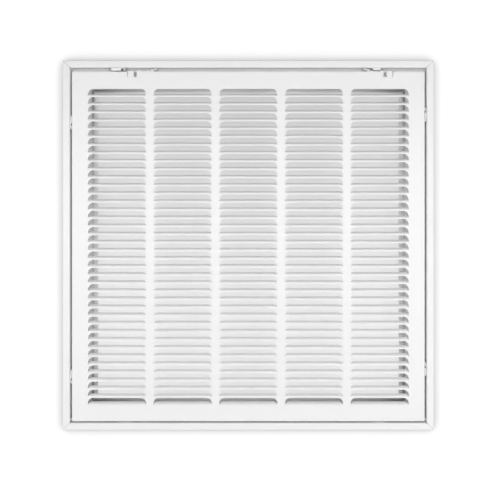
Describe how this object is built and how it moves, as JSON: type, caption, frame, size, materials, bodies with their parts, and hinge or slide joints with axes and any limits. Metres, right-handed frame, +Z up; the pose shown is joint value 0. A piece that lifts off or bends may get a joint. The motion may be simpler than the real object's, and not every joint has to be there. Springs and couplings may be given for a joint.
{
  "type": "return air filter grille",
  "caption": "Square white sheet-metal return air grille: mitred wall frame with duct collar and a hinged louvred door with sliding latches, for a filter behind it.",
  "frame": {"origin": "centre of the wall plane, on the duct collar's axis", "axes": "+X to the right seen from the room, +Y into the wall, +Z up, hinge at the bottom"},
  "size_m": [0.5716, 0.0435, 0.569],
  "materials": {
    "enamel": "satin white baked enamel",
    "zinc": "zinc plated"
  },
  "bodies": {
    "frame": {"frame_top": "enamel", "frame_bottom": "enamel", "frame_left": "enamel", "frame_right": "enamel", "corner_key_top_left": "zinc", "corner_key_top_right": "zinc", "corner_key_bottom_left": "zinc", "corner_key_bottom_right": "zinc", "hinge_pins": "zinc"},
    "door": {"door_panel": "enamel"},
    "latch_left": {"latch_slide_left": "enamel"},
    "latch_right": {"latch_slide_right": "enamel"}
  },
  "joints": [
    {"name": "door_hinge", "type": "hinge", "parent": "frame", "child": "door", "pos_m": [0, -0.0063, -0.2684], "axis": [1, 0, 0], "range_deg": [0, 100]},
    {"name": "latch_left_slide", "type": "slide", "parent": "door", "child": "latch_left", "axis": [1, 0, 0], "range_m": [0, 0.0044]},
    {"name": "latch_right_slide", "type": "slide", "parent": "door", "child": "latch_right", "axis": [-1, 0, 0], "range_m": [0, 0.0044]}
  ]
}
